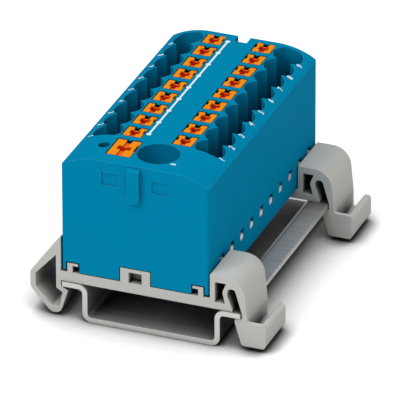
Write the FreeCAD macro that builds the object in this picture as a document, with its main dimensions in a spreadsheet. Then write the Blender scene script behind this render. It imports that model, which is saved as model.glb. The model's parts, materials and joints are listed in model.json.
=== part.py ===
import FreeCAD, Part
import math
import os

import Sketcher

# A push-in power distribution block, clipped by two feet on a piece of 35 mm top-hat rail.
# X runs across the rail, Y along it and Z up. The origin is the middle of the rail's underside.
# The moulding's own pieces are drawn from the block's front lower edge: x from its middle plane,
# y from its front face and z from its underside. Feet are drawn from the top of the rail.

# Driving sizes in millimetres: name, value and what it measures.
SIZES = [
    ("rail_width", 35.0, "overall width of the rail"),
    ("rail_hat", 27.0, "outer width of the rail's channel"),
    ("rail_depth", 7.5, "height of the rail"),
    ("rail_sheet", 1.0, "sheet thickness of the rail"),
    ("rail_bend", 0.8, "inner bend radius of the rail"),
    ("rail_proud", 0.4, "how far the rail stands out past each end of the block"),
    ("block_width", 28.8, "width of the moulding"),
    ("latch_room", 6.3, "the moulding's right side to the edge of the rail"),
    ("side_height", 22.1, "height of the moulding's long sides"),
    ("crown_rise", 2.2, "how far the top rises above the long sides"),
    ("crown_flat", 13.6, "width of the level part of the top"),
    ("block_corner", 0.5, "radius of the four upright corners"),
    ("infeed_length", 12.75, "front face to the first pole"),
    ("pole_pitch", 5.0, "distance between poles"),
    ("pole_count", 9.0, "poles in each row"),
    ("end_margin", 3.05, "last pole to the rear face"),
    ("wall_end", 1.4, "end wall of the moulding"),
    ("wall_side", 1.5, "long wall of the moulding"),
    ("funnel_inset", 4.4, "long side to the middle of a wire funnel"),
    ("funnel_shift", 0.35, "pole to the middle of its funnel, towards the front"),
    ("funnel_bore", 5.7, "diameter of a wire funnel"),
    ("funnel_front", 2.05, "middle of a row's first funnel to the flat wall in front of it"),
    ("funnel_rear", 2.5, "middle of a row's last funnel to the flat wall behind it"),
    ("funnel_depth", 8.8, "depth of a funnel"),
    ("guide_wide", 3.8, "square wire guide under a funnel, at its upper end"),
    ("guide_slope", 5.0, "slope of the guide's sides in degrees"),
    ("button_gap", 0.425, "wall between a funnel and its button"),
    ("button_wide", 3.55, "button across the block"),
    ("button_web", 1.5, "gap between two buttons of a row"),
    ("button_play", 0.1, "gap between a button and its shaft"),
    ("button_sink", 0.05, "how far a button's top lies under the top face"),
    ("button_lip", 0.5, "retaining lip under the shaft"),
    ("lip_gap", 0.1, "lip to the chamber's ceiling"),
    ("side_notch_long", 1.3, "notch in a button's inner side, along the block"),
    ("side_notch_deep", 0.3, "depth of that notch"),
    ("side_notch_place", 0.5, "middle of the button to the middle of that notch"),
    ("end_notch_wide", 1.2, "keyway in a button's rear side"),
    ("end_notch_deep", 0.55, "depth of the keyway"),
    ("key_gap", 0.22, "keyway to its key"),
    ("slot_long", 1.9, "screwdriver slot across the button"),
    ("slot_wide", 1.45, "width of the screwdriver slot"),
    ("slot_shift", 0.05, "middle of the button back to the middle of the slot"),
    ("slot_deep", 1.2, "depth of the screwdriver slot"),
    ("channel_wide", 1.0, "shallow channel along the button through the slot"),
    ("channel_deep", 0.35, "depth of that channel"),
    ("partition", 1.0, "wall between two chambers"),
    ("roof", 11.7, "top of the block to the chambers' ceiling"),
    ("cover_thick", 3.6, "thickness of the bottom cover"),
    ("cover_skin", 1.4, "skin over the hollow in the cover"),
    ("cover_gap", 0.15, "cover to the moulding"),
    ("bus_sheet", 1.0, "thickness of the busbar"),
    ("bus_gap", 0.2, "busbar to the long wall"),
    ("tongue_sheet", 0.8, "thickness of a contact tongue"),
    ("tongue_clear", 1.8, "top of a contact tongue to the chamber's ceiling"),
    ("tongue_gap", 0.3, "contact tongue to the chamber's partition"),
    ("lug_wide", 1.45, "width of a busbar lug"),
    ("lug_shift", 0.1, "middle of a window to the middle of its lug, towards the front"),
    ("lug_sink", 0.05, "lug end to the outer face of the moulding"),
    ("window_shift", 0.75, "pole to the middle of its window, towards the front"),
    ("window_wide", 1.75, "window for a lug, along the block"),
    ("window_high", 1.7, "window's lower edge up to the ceiling over the busbar"),
    ("window_rise", 0.45, "ceiling over the busbar up to the top of a window"),
    ("window_gap", 0.1, "window's lower edge under the busbar"),
    ("spring_sheet", 0.35, "thickness of the spring strip"),
    ("spring_gap", 0.4, "spring to the chamber's partition"),
    ("loop_radius", 1.8, "radius of the spring's bend, at the middle of the strip"),
    ("loop_shift", 0.85, "button's middle to the middle of the bend"),
    ("loop_gap", 0.3, "the spring's bend to the wall between the two rows"),
    ("clamp_angle", 13.0, "slope of the clamping leg in degrees"),
    ("tip_gap", 0.3, "clamping leg to the contact tongue"),
    ("button_rest", 0.1, "button's foot to the clamping leg"),
    ("infeed_step", 6.55, "middle of the infeed terminal to the first pole"),
    ("infeed_wall", 0.5, "wall between the infeed hole and its button"),
    ("infeed_bore", 8.0, "diameter of the infeed hole"),
    ("infeed_guide", 5.4, "square guide under it, at its upper end"),
    ("infeed_button", 4.45, "middle plane to the infeed button"),
    ("infeed_button_wide", 4.5, "infeed button across the block"),
    ("infeed_button_long", 6.2, "infeed button along the block"),
    ("infeed_notch_long", 2.5, "notch in its inner side"),
    ("infeed_slot_long", 2.6, "its screwdriver slot across"),
    ("infeed_chamber", 7.2, "infeed chamber along the block"),
    ("infeed_loop_shift", 0.25, "infeed button's middle to the bend of its spring"),
    ("infeed_tongue_gap", 0.5, "side of the infeed hole to the back of its tongue"),
    ("test_gap", 0.6, "infeed button to the test hole"),
    ("test_bore", 2.2, "diameter of the test hole"),
    ("rib_wide", 2.3, "joining rib on the front face"),
    ("rib_long", 7.1, "height of the rib"),
    ("rib_proud", 1.0, "how far the rib stands out"),
    ("rib_sink", 0.5, "top of the block to the top of the rib"),
    ("rib_round", 0.5, "radius over the top of the rib"),
    ("rib_gap", 0.1, "rib to the sides of the groove of a second block"),
    ("groove_deep", 2.3, "depth of that groove in the rear face"),
    ("recess_place", 4.9, "middle plane to a recess in the front face"),
    ("recess_wide", 3.15, "width of the recess"),
    ("recess_high", 2.5, "height of the recess"),
    ("recess_sink", 2.4, "top of the block to the recess"),
    ("recess_deep", 0.25, "depth of the recess"),
    ("foot_long", 10.4, "foot along the rail"),
    ("foot_gap", 0.25, "foot to the long side of the moulding"),
    ("foot_wall", 0.95, "wall of a foot"),
    ("plate_thick", 2.0, "plate between the rail and the block"),
    ("post_inset", 1.05, "long side of the moulding to the outer face of a hook post"),
    ("post_wall", 1.0, "thickness of a hook post"),
    ("post_height", 1.9, "height of a hook post"),
    ("arm_long", 2.1, "hook post and arm together"),
    ("arm_thick", 0.5, "thickness of the arm"),
    ("post_gap", 0.3, "hook to its slot"),
    ("corner_lift", 0.5, "plate up to the moulding's lower corners, outside the hook slots"),
    ("seam_high", 0.2, "height of the seam between a foot's plate and the end wall"),
    ("seam_deep", 0.5, "depth of that seam"),
    ("clip_gap", 0.2, "middle clip to its slot"),
    ("clip_wide", 5.85, "width of the middle clip"),
    ("clip_height", 2.95, "height of the middle clip"),
    ("clip_window", 2.6, "width of the clip's window"),
    ("clip_bar", 0.7, "bar over the window"),
    ("clip_deep", 2.0, "depth of the window"),
    ("hook_gap", 0.35, "rail edge to the fixed hook"),
    ("hook_reach", 6.1, "inner to outer face of the fixed hook"),
    ("hook_top", 8.95, "rail to the tip of the fixed hook's slope"),
    ("hook_shoulder", 0.85, "rail to the upper corner of the fixed hook"),
    ("hook_heel", 2.35, "rail down to the lower corner of the fixed hook"),
    ("hook_lift", 0.6, "back of the rail up to the bottom of the fixed hook"),
    ("hook_base", 1.9, "level part under the fixed hook"),
    ("hook_toe", 0.5, "rail edge out to that level part"),
    ("hook_wall", 1.05, "outer wall of the fixed hook"),
    ("hook_floor", 1.25, "floor of the fixed hook"),
    ("hook_peak", 2.59, "slope of the fixed hook down to the tip of its hollow"),
    ("nose_reach", 1.0, "how far a nose reaches under the rail's flange"),
    ("nose_gap", 0.2, "flange down to a nose"),
    ("nose_slope", 0.65, "how far the hook's nose falls towards its tip"),
    ("latch_top", 6.85, "rail to the top of the latch"),
    ("latch_reach", 0.4, "rail edge to the latch's outer corner, at the top"),
    ("latch_lean", 0.85, "how far the latch leans out towards its tab"),
    ("latch_lift", 0.85, "back of the rail up to the bottom of the latch"),
    ("latch_gap", 0.15, "rail edge to the latch"),
    ("slit_top", 4.6, "rail to the top of the spring slit"),
    ("slit_place", 2.5, "rail edge in to the top of the slit"),
    ("slit_wide", 1.3, "width of the slit at its top"),
    ("web_place", 1.55, "rail edge in to the end of the plate"),
    ("web_wall", 0.4, "spring web between the slit and the hollow"),
    ("pocket_waist", 0.75, "how far the spring web bulges into the hollow"),
    ("tab_reach", 4.75, "rail edge to the outer face of the tab"),
    ("tab_drop", 1.75, "rail down to the top of the tab's front wall"),
    ("tab_wall", 0.7, "front wall of the tab"),
    ("lip_drop", 2.4, "rail down to the top of the tab's lip"),
    ("lip_wall", 1.5, "thickness of the lip"),
    ("tab_floor", 1.35, "floor of the tab"),
]
SIDES = {"right": 1, "left": -1}
PART_FOLDER = "parts"

document = FreeCAD.newDocument("DistributionBlock")
sheet = document.addObject("Spreadsheet::Sheet", "Sizes")
for row, (alias, number, meaning) in enumerate(SIZES, start=1):
    sheet.set(f"A{row}", meaning)
    sheet.set(f"B{row}", str(number))
    sheet.setAlias(f"B{row}", alias)
document.recompute()
REFERENCES = {alias: f"Sizes.{alias}" for alias, _, _ in SIZES}


def bound(text):
    """The formula with each size in braces turned into a reference to its cell."""
    return text.format_map(REFERENCES)


def number(text):
    """What a formula comes to with the sheet's present values."""
    return float(sheet.evalExpression(bound(text)))


# Places that several pieces share, as formulas.
POLE_SPAN = "(({pole_count} - 1) * {pole_pitch})"
BLOCK_LENGTH = "({infeed_length} + " + POLE_SPAN + " + {end_margin})"
BLOCK_TOP = "({side_height} + {crown_rise})"
HALF_WIDTH = "({block_width} / 2)"
INNER_HALF = "({block_width} / 2 - {wall_side})"
CEILING = "({side_height} + {crown_rise} - {roof})"
FUNNEL_X = "({block_width} / 2 - {funnel_inset})"
FUNNEL_Y = "({infeed_length} - {funnel_shift})"
BUTTON_X = "(" + FUNNEL_X + " - {funnel_bore} / 2 - {button_gap} - {button_wide} / 2)"
BUTTON_LONG = "({pole_pitch} - {button_web})"
CHAMBER_LONG = "({pole_pitch} - {partition})"
BUS_TOP = "({cover_thick} + {bus_sheet})"
BUS_HALF = "({block_width} / 2 - {wall_side} - {bus_gap})"
LOOP_X = "(" + BUTTON_X + " - {loop_shift})"
CHAMBER_X = "(" + LOOP_X + " - {loop_radius} - {spring_sheet} / 2 - {loop_gap})"
TONGUE_RISE = "(" + CEILING + " - " + BUS_TOP + " - {tongue_clear})"
INFEED_Y = "({infeed_length} - {infeed_step})"
INFEED_WIRE = "({infeed_bore} / 2 + {infeed_wall} + {infeed_button_wide} / 2 - {infeed_button})"
INFEED_LOOP = "({infeed_button} + {infeed_loop_shift})"
INFEED_TONGUE = "(" + INFEED_WIRE + " + {infeed_bore} / 2 + {infeed_tongue_gap})"
TEST_X = "({infeed_button} + {infeed_button_wide} / 2 + {test_gap} + {test_bore} / 2)"
POST_X = "({block_width} / 2 - {post_inset})"
FIRST_WINDOW = "({infeed_length} - {pole_pitch} - {window_shift})"
WINDOW_BOTTOM = "({cover_thick} - {window_gap})"
BUS_ROOF = "({cover_thick} - {window_gap} + {window_high})"
BLOCK_BASE = "({rail_depth} + {plate_thick})"
BLOCK_FRONT = "(-" + BLOCK_LENGTH + " / 2)"
SLOT_LONG = "({foot_long} + {post_gap})"
RAIL_EDGE = "({rail_width} / 2)"
BLOCK_RIGHT = "(" + RAIL_EDGE + " - {latch_room})"
BLOCK_MIDDLE = "(" + BLOCK_RIGHT + " - {block_width} / 2)"
BLOCK_PLACE = (BLOCK_MIDDLE, BLOCK_FRONT, BLOCK_BASE)
WALL_LEFT = "(" + BLOCK_RIGHT + " - {block_width} - {foot_gap})"
WALL_RIGHT = "(" + BLOCK_RIGHT + " + {foot_gap})"
HOOK_DROP = "({rail_depth} - {hook_lift})"
LATCH_DROP = "({rail_depth} - {latch_lift})"
TROUGH_DROP = "({rail_depth} - {latch_lift} - {tab_floor})"


def new_body(name, place=("0", "0", "0")):
    """A body with its label and its place in the shared frame."""
    body = document.addObject("PartDesign::Body", name)
    body.Label = name
    for axis, text in zip("xyz", place):
        body.setExpression(f"Placement.Base.{axis}", bound(text))
    return body


def origin_feature(body, role):
    """One of the body's own planes or axes."""
    return next(item for item in body.Origin.OriginFeatures if item.Role == role)


def new_sketch(body, name, plane, offset=("0", "0", "0")):
    """A sketch on one of the body's planes, moved in the sketch's own axes."""
    sketch = body.newObject("Sketcher::SketchObject", name)
    sketch.AttachmentSupport = [(origin_feature(body, plane), "")]
    sketch.MapMode = "FlatFace"
    for axis, text in zip("xyz", offset):
        sketch.setExpression(f"AttachmentOffset.Base.{axis}", bound(text))
    return sketch


def pin(sketch, curve, end, x, y):
    """Bind one point of a curve to its distances from the sketch's origin."""
    for kind, text in (("DistanceX", x), ("DistanceY", y)):
        item = Sketcher.Constraint(kind, -1, 1, curve, end, number(text))
        place = sketch.addConstraint(item)
        sketch.setExpression(f"Constraints[{place}]", bound(text))


def arc_between(start, end, radius, turn):
    """The arc from start to end; turn is 1 for anticlockwise and -1 for clockwise."""
    chord = end - start
    middle = (start + end) / 2
    reach = math.sqrt(max(radius ** 2 - (chord.Length / 2) ** 2, 0.0))
    side = FreeCAD.Vector(-chord.y, chord.x, 0).normalize() * turn
    centre = middle + side * reach
    first, last = (start, end) if turn > 0 else (end, start)
    angles = [math.atan2(point.y - centre.y, point.x - centre.x) for point in (first, last)]
    circle = Part.Circle(centre, FreeCAD.Vector(0, 0, 1), radius)
    return Part.ArcOfCircle(circle, angles[0], angles[1])


def draw_outline(sketch, corners):
    """A closed outline. A corner is (x, y), or (x, y, radius, turn) where an arc follows it."""
    points = [FreeCAD.Vector(number(corner[0]), number(corner[1]), 0) for corner in corners]
    ends = []
    for place, corner in enumerate(corners):
        start, end = points[place], points[(place + 1) % len(points)]
        if len(corner) == 4:
            radius, turn = corner[2], corner[3]
            curve = sketch.addGeometry(arc_between(start, end, number(radius), turn))
            bend = sketch.addConstraint(Sketcher.Constraint("Radius", curve, number(radius)))
            sketch.setExpression(f"Constraints[{bend}]", bound(radius))
            ends.append((curve, 1, 2) if turn > 0 else (curve, 2, 1))
        else:
            ends.append((sketch.addGeometry(Part.LineSegment(start, end)), 1, 2))
    for place, (curve, first, _) in enumerate(ends):
        before, _, last = ends[place - 1]
        sketch.addConstraint(Sketcher.Constraint("Coincident", before, last, curve, first))
        pin(sketch, curve, first, corners[place][0], corners[place][1])


def draw_box(sketch, low, high):
    """A rectangle between two opposite corners."""
    draw_outline(sketch, [low, (high[0], low[1]), high, (low[0], high[1])])


def draw_circle(sketch, x, y, diameter):
    """A circle bound to its middle and diameter."""
    centre = FreeCAD.Vector(number(x), number(y), 0)
    circle = Part.Circle(centre, FreeCAD.Vector(0, 0, 1), number(diameter) / 2)
    curve = sketch.addGeometry(circle)
    pin(sketch, curve, 3, x, y)
    size = sketch.addConstraint(Sketcher.Constraint("Diameter", curve, number(diameter)))
    sketch.setExpression(f"Constraints[{size}]", bound(diameter))


def extrude(body, kind, name, sketch, length, reverse=False):
    """A pad or pocket of a bound length."""
    feature = body.newObject(f"PartDesign::{kind}", name)
    feature.Profile = sketch
    feature.setExpression("Length", bound(length))
    feature.Reversed = reverse
    return feature


def repeat_poles(body, name, features, extra=0):
    """Repeat the first pole's features for every pole of the row and for any extra places."""
    pattern = body.newObject("PartDesign::LinearPattern", name)
    pattern.Originals = features
    pattern.Direction = (origin_feature(body, "Y_Axis"), [""])
    pattern.setExpression("Length", bound(f"{POLE_SPAN} + {extra} * {{pole_pitch}}"))
    pattern.setExpression("Occurrences", bound(f"{{pole_count}} + {extra}"))
    body.Tip = pattern
    return pattern


def edges_along(shape, axis, places):
    """Names of the straight edges along an axis that pass through the given places."""
    others = [item for item in "xyz" if item != axis]
    found = []
    for place, edge in enumerate(shape.Edges, start=1):
        if not isinstance(edge.Curve, Part.Line):
            continue
        if abs(abs(getattr(edge.Curve.Direction, axis)) - 1) > 1e-6:
            continue
        middle = edge.valueAt((edge.FirstParameter + edge.LastParameter) / 2)
        here = [getattr(middle, item) for item in others]
        if any(math.dist(here, spot) < 1e-3 for spot in places):
            found.append(f"Edge{place}")
    return found


def round_edges(body, name, base, axis, radius, places):
    """Fillet the edges along an axis through places, which are pairs of formulas."""
    document.recompute()
    spots = [[number(text) for text in pair] for pair in places]
    names = edges_along(base.Shape, axis, spots)
    if len(names) < len(spots):
        raise RuntimeError(f"{name}: {len(names)} of {len(spots)} edges found")
    fillet = body.newObject("PartDesign::Fillet", name)
    fillet.Base = (base, names)
    fillet.setExpression("Radius", bound(radius))
    return fillet


def make_rail():
    """The rail: a folded top-hat section along Y."""
    body = new_body("mounting_rail", ("0", "-" + BLOCK_LENGTH + " / 2 - {rail_proud}", "0"))
    sketch = new_sketch(body, "rail_section", "XZ_Plane")
    tip, hat = "{rail_width} / 2", "{rail_hat} / 2"
    inner = "({rail_hat} / 2 - {rail_sheet})"
    under = "({rail_depth} - {rail_sheet})"
    draw_outline(sketch, [
        ("-" + hat, "0"), (hat, "0"), (hat, under), (tip, under), (tip, "{rail_depth}"),
        (inner, "{rail_depth}"), (inner, "{rail_sheet}"), ("-" + inner, "{rail_sheet}"),
        ("-" + inner, "{rail_depth}"), ("-" + tip, "{rail_depth}"), ("-" + tip, under),
        ("-" + hat, under),
    ])
    pad = extrude(body, "Pad", "rail_strip", sketch, BLOCK_LENGTH + " + 2 * {rail_proud}", True)
    outer = round_edges(body, "rail_outer_bends", pad, "y", "{rail_bend} + {rail_sheet}", [
        (sign + x, z) for sign in ("", "-") for x, z in ((hat, "0"), (inner, "{rail_depth}"))
    ])
    round_edges(body, "rail_inner_bends", outer, "y", "{rail_bend}", [
        (sign + x, z) for sign in ("", "-") for x, z in ((hat, under), (inner, "{rail_sheet}"))
    ])
    return body


def make_foot(name, front):
    """One foot: a fixed hook, a plate and a springy latch, moulded as one piece."""
    body = new_body(name, ("0", front, "{rail_depth}"))
    beside = "(-" + RAIL_EDGE + " - {hook_gap})"
    inner = "min(" + WALL_LEFT + "; " + beside + ")"
    left = "(" + inner + " - {hook_reach})"
    toe = "(-" + RAIL_EDGE + " - {hook_toe})"
    nose = "(" + RAIL_EDGE + " - {nose_reach})"
    under = "(-{rail_sheet} - {nose_gap})"
    slit_left = "(" + RAIL_EDGE + " - {slit_place})"
    slit_right = "(" + slit_left + " + {slit_wide})"
    bulge = (slit_left + " - {pocket_waist} / 3", "({slit_top} * 0.7)")
    latch_in = "(" + RAIL_EDGE + " + {latch_gap})"
    latch_out = "(" + RAIL_EDGE + " + {latch_reach} + {latch_lean})"
    latch_peak = "(" + RAIL_EDGE + " + {latch_reach})"
    tab = "(" + RAIL_EDGE + " + {tab_reach})"
    section = new_sketch(body, f"{name}_section", "XZ_Plane")
    draw_outline(section, [
        (WALL_LEFT, "{plate_thick}"), (WALL_LEFT, "{hook_top}"), (left, "{hook_shoulder}"),
        (left, "-{hook_heel}"), (toe + " - {hook_base}", "-" + HOOK_DROP), (toe, "-" + HOOK_DROP),
        ("-" + nose, under + " - {nose_slope}"), (beside, under), (beside, "0"),
        (RAIL_EDGE + " - {web_place}", "0"), bulge, (slit_left, "{slit_top}"),
        (slit_right, "{slit_top}"), (latch_in, "0"), (latch_in, under),
        (nose + " - {nose_gap}", under + " - {nose_gap}"),
        (nose + " - {nose_gap}", under + " - {nose_reach}"), (latch_in, "-" + LATCH_DROP),
        (tab, "-" + LATCH_DROP), (tab, "-{tab_drop}"), (latch_out, "-{tab_drop}"),
        (latch_peak, "{latch_top}"), (WALL_RIGHT, "{latch_top}"), (WALL_RIGHT, "{plate_thick}"),
    ])
    pocket_left = "(" + WALL_RIGHT + " + {foot_wall})"
    pocket_right = "(" + slit_left + " - {web_wall})"
    waist = "(" + pocket_right + " - {pocket_waist})"
    pocket_top = "({latch_top} - 1.4 * {foot_wall})"
    pocket_floor = "({foot_wall} * 1.4)"
    waist_height = "(" + pocket_top + " - 1.4 * {slit_wide})"
    draw_outline(section, [
        (pocket_left, pocket_floor), (pocket_left, pocket_top), (pocket_right, pocket_top),
        (waist, waist_height),
        (pocket_right + " - {pocket_waist} / 4", pocket_floor),
    ])
    hollow_right = "(" + inner + " - {foot_wall})"
    hollow_left = "(" + left + " + {hook_wall})"
    hollow_floor = "({hook_floor} - " + HOOK_DROP + ")"
    climb = "(({hook_top} - {hook_shoulder}) / (" + WALL_LEFT + " - " + left + "))"
    slope = "({hook_shoulder} + " + climb + " * (" + hollow_right + " - " + left + "))"
    draw_outline(section, [
        (hollow_right, slope + " - {hook_peak}"), (hollow_left, "{hook_shoulder} - {foot_gap}"),
        (hollow_left, "{foot_gap} - {hook_heel}"), (toe + " - {hook_base} + {foot_gap}", hollow_floor),
        (toe + " - {foot_gap}", hollow_floor),
        ("-" + nose + " - {hook_wall}", under + " - {hook_floor}"),
        (hollow_right, under + " - {hook_base} / 4"),
    ])
    pad = extrude(body, "Pad", f"{name}_profile", section, "{foot_long}", True)
    trough = new_sketch(body, f"{name}_tab", "XZ_Plane", ("0", "0", "-{tab_wall}"))
    draw_outline(trough, [
        (latch_out, "-" + TROUGH_DROP), (tab + " - {lip_wall}", "-" + TROUGH_DROP),
        (tab + " - {lip_wall}", "-{lip_drop}"), (tab + " + 1", "-{lip_drop}"),
        (tab + " + 1", "-{tab_drop} + 1"), (latch_out, "-{tab_drop} + 1"),
    ])
    tip = extrude(body, "Pocket", f"{name}_trough", trough, "{foot_long}")
    for side, turn in SIDES.items():
        hook = new_sketch(body, f"{name}_{side}_post", "XZ_Plane")
        middle = f"{BLOCK_MIDDLE} + {turn} * "
        top = "({plate_thick} + {post_height})"
        draw_outline(hook, [
            (middle + POST_X, "{plate_thick}"), (middle + POST_X, top),
            (middle + "(" + POST_X + " - {arm_long})", top),
            (middle + "(" + POST_X + " - {arm_long})", top + " - {arm_thick}"),
            (middle + "(" + POST_X + " - {post_wall})", top + " - {arm_thick}"),
            (middle + "(" + POST_X + " - {post_wall})", "{plate_thick}"),
        ])
        tip = extrude(body, "Pad", f"{name}_{side}_hook", hook, "{foot_long}", True)
    clip = new_sketch(body, f"{name}_clip_section", "XZ_Plane")
    clip_top = "({plate_thick} + {clip_height})"
    draw_box(clip, (BLOCK_MIDDLE + " - {clip_wide} / 2", "{plate_thick}"),
             (BLOCK_MIDDLE + " + {clip_wide} / 2", clip_top))
    tip = extrude(body, "Pad", f"{name}_clip", clip, "{foot_long}", True)
    for end, depth in (("front", "0"), ("rear", "{clip_deep} - {foot_long}")):
        window = new_sketch(body, f"{name}_{end}_opening", "XZ_Plane", ("0", "0", depth))
        draw_box(window, (BLOCK_MIDDLE + " - {clip_window} / 2", "{plate_thick}"),
                 (BLOCK_MIDDLE + " + {clip_window} / 2", clip_top + " - {clip_bar}"))
        tip = extrude(body, "Pocket", f"{name}_{end}_window", window, "{clip_deep}")
    for label, radius, places in (
        ("arch", "{foot_wall} * 3.8", [(latch_peak, "{latch_top}")]),
        ("heel", "{hook_wall} * 1.4", [(left, "{hook_shoulder}"), (left, "-{hook_heel}"),
                                 (toe + " - {hook_base}", "-" + HOOK_DROP), (toe, "-" + HOOK_DROP)]),
        ("slit", "{slit_wide} * 0.46", [(slit_left, "{slit_top}"), (slit_right, "{slit_top}")]),
        ("tab", "{tab_wall} * 0.8", [(tab, "-{tab_drop}"), (latch_out, "-{tab_drop}"),
                               (latch_out, "-" + TROUGH_DROP)]),
        ("lip", "{lip_wall} * 0.4", [(tab, "-{lip_drop}"), (tab + " - {lip_wall}", "-{lip_drop}")]),
        ("hollow", "{hook_wall} * 0.5", [
            (hollow_left, "{hook_shoulder} - {foot_gap}"), (hollow_left, "{foot_gap} - {hook_heel}"),
            (toe + " - {hook_base} + {foot_gap}", hollow_floor),
            (toe + " - {foot_gap}", hollow_floor)]),
        ("nose", "{nose_gap}", [("-" + nose, under + " - {nose_slope}"),
                                (nose + " - {nose_gap}", under + " - {nose_gap}"),
                                (RAIL_EDGE + " - {web_place}", "0")]),
        ("web", "{slit_wide}", [(waist, waist_height), bulge]),
        ("corner", "{tab_wall}", [(latch_in, "-" + LATCH_DROP), (tab, "-" + LATCH_DROP)]),
    ):
        tip = round_edges(body, f"{name}_{label}_round", tip, "y", radius, places)
    return body


def shaft_outline(x, wide, long):
    """Outline of a button's shaft, with the key that stands in from its rear side."""
    half_x = f"({wide} / 2 + {{button_play}})"
    half_y = f"({long} / 2 + {{button_play}})"
    key_half = "({end_notch_wide} / 2 - {key_gap})"
    key_tip = f"({half_y} - {{end_notch_deep}} + {{key_gap}} - {{button_play}})"
    return [
        (f"{x} + {half_x}", f"-{half_y}"), (f"{x} + {half_x}", half_y),
        (f"{x} + {key_half}", half_y), (f"{x} + {key_half}", key_tip),
        (f"{x} - {key_half}", key_tip), (f"{x} - {key_half}", half_y),
        (f"{x} - {half_x}", half_y), (f"{x} - {half_x}", f"-{half_y}"),
    ]


def make_housing():
    """The blue moulding that holds every contact, with its funnels, shafts and chambers."""
    body = new_body("housing", BLOCK_PLACE)
    section = new_sketch(body, "housing_section", "XZ_Plane")
    shoulder = "({block_width} / 2 - {crown_flat} / 2)"
    crown = f"(({shoulder} ^ 2 + {{crown_rise}} ^ 2) / (2 * {{crown_rise}}))"
    draw_outline(section, [
        ("-" + HALF_WIDTH, "0"), (HALF_WIDTH, "0"), (HALF_WIDTH, "{side_height}", crown, 1),
        ("{crown_flat} / 2", BLOCK_TOP), ("-{crown_flat} / 2", BLOCK_TOP, crown, 1),
        ("-" + HALF_WIDTH, "{side_height}"),
    ])
    block = extrude(body, "Pad", "housing_block", section, BLOCK_LENGTH, True)
    round_edges(body, "housing_corners", block, "z", "{block_corner}", [
        (sign + HALF_WIDTH, y) for sign in ("", "-") for y in ("0", BLOCK_LENGTH)
    ])

    rib = new_sketch(body, "rib_outline", "XZ_Plane")
    rib_top = "(" + BLOCK_TOP + " - {rib_sink})"
    radius = "({rib_wide} / 2)"
    draw_outline(rib, [
        (radius, rib_top + " - {rib_long} + " + radius), (radius, rib_top), ("-" + radius, rib_top),
        ("-" + radius, rib_top + " - {rib_long} + " + radius, "({rib_wide} * 0.51)", 1),
    ])
    tip = extrude(body, "Pad", "joining_rib", rib, "{rib_proud}")
    place = [("-{rib_proud}", rib_top)]
    round_edges(body, "rib_top_round", tip, "x", "{rib_round}", place)
    groove = new_sketch(body, "groove_outline", "XZ_Plane", ("0", "0", "-" + BLOCK_LENGTH))
    half = "({rib_wide} / 2 + {rib_gap})"
    draw_box(groove, ("-" + half, rib_top + " - {rib_long} - {rib_gap}"), (half, BLOCK_TOP + " + 1"))
    extrude(body, "Pocket", "joining_groove", groove, "{groove_deep}", True)
    recess = new_sketch(body, "recess_outlines", "XZ_Plane")
    recess_top = "(" + BLOCK_TOP + " - {recess_sink})"
    for turn in SIDES.values():
        middle = f"({turn} * {{recess_place}})"
        draw_box(recess, (middle + " - {recess_wide} / 2", recess_top + " - {recess_high}"),
                 (middle + " + {recess_wide} / 2", recess_top))
    extrude(body, "Pocket", "front_recesses", recess, "{recess_deep}")

    cavity = new_sketch(body, "cavity_outline", "XY_Plane")
    draw_box(cavity, ("-" + INNER_HALF, "{wall_end}"), (INNER_HALF, BLOCK_LENGTH + " - {wall_end}"))
    extrude(body, "Pocket", "base_cavity", cavity, BUS_ROOF, True)
    chamber = new_sketch(body, "infeed_chamber_outline", "XY_Plane")
    draw_box(chamber, ("-" + INFEED_LOOP + " - {loop_radius} - {spring_gap}",
                       INFEED_Y + " - {infeed_chamber} / 2"),
             (INFEED_TONGUE + " + {bus_gap}", INFEED_Y + " + {infeed_chamber} / 2"))
    extrude(body, "Pocket", "infeed_room", chamber, CEILING, True)
    for end, front in (("front", "0"), ("rear", "(" + BLOCK_LENGTH + " - " + SLOT_LONG + ")")):
        slots = new_sketch(body, f"{end}_slot_outlines", "XZ_Plane", ("0", "0", "-" + front))
        for turn in SIDES.values():
            inner = f"({turn} * ({POST_X} - {{arm_long}} - {{post_gap}}))"
            outer = f"({turn} * ({POST_X} + {{post_gap}}))"
            beyond = f"({turn} * ({HALF_WIDTH} + 1))"
            draw_outline(slots, [
                (inner, "0"), (beyond, "0"), (beyond, "{corner_lift}"), (outer, "{corner_lift}"),
                (outer, "{post_height} + {post_gap}"), (inner, "{post_height} + {post_gap}"),
            ])
        half = "({clip_wide} / 2 + {clip_gap})"
        draw_box(slots, ("-" + half, "0"), (half, "{clip_height} + {clip_gap}"))
        extrude(body, "Pocket", f"{end}_foot_slots", slots, SLOT_LONG)
    for end, front in (("front", "0"), ("rear", "(" + BLOCK_LENGTH + " - {seam_deep})")):
        seam = new_sketch(body, f"{end}_seam_outline", "XZ_Plane", ("0", "0", "-" + front))
        draw_box(seam, ("-" + HALF_WIDTH + " - 1", "-1"), (HALF_WIDTH + " + 1", "{seam_high}"))
        extrude(body, "Pocket", f"{end}_seam", seam, "{seam_deep}")

    cut_funnel(body, "infeed", INFEED_WIRE, INFEED_Y, "{infeed_bore}")
    cut_guide(body, "infeed", INFEED_WIRE, INFEED_Y, "{infeed_guide}")
    shaft = new_sketch(body, "infeed_shaft_outline", "XY_Plane", ("0", INFEED_Y, BLOCK_TOP))
    draw_outline(shaft, shaft_outline("-{infeed_button}", "{infeed_button_wide}",
                                      "{infeed_button_long}"))
    extrude(body, "Pocket", "infeed_shaft", shaft, "{roof}")
    test = new_sketch(body, "test_hole_outline", "XY_Plane", ("0", "0", BLOCK_TOP))
    draw_circle(test, "-" + TEST_X, INFEED_Y, "{test_bore}")
    extrude(body, "Pocket", "test_hole", test, "(" + BLOCK_TOP + " - " + BUS_ROOF + ")")

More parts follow.
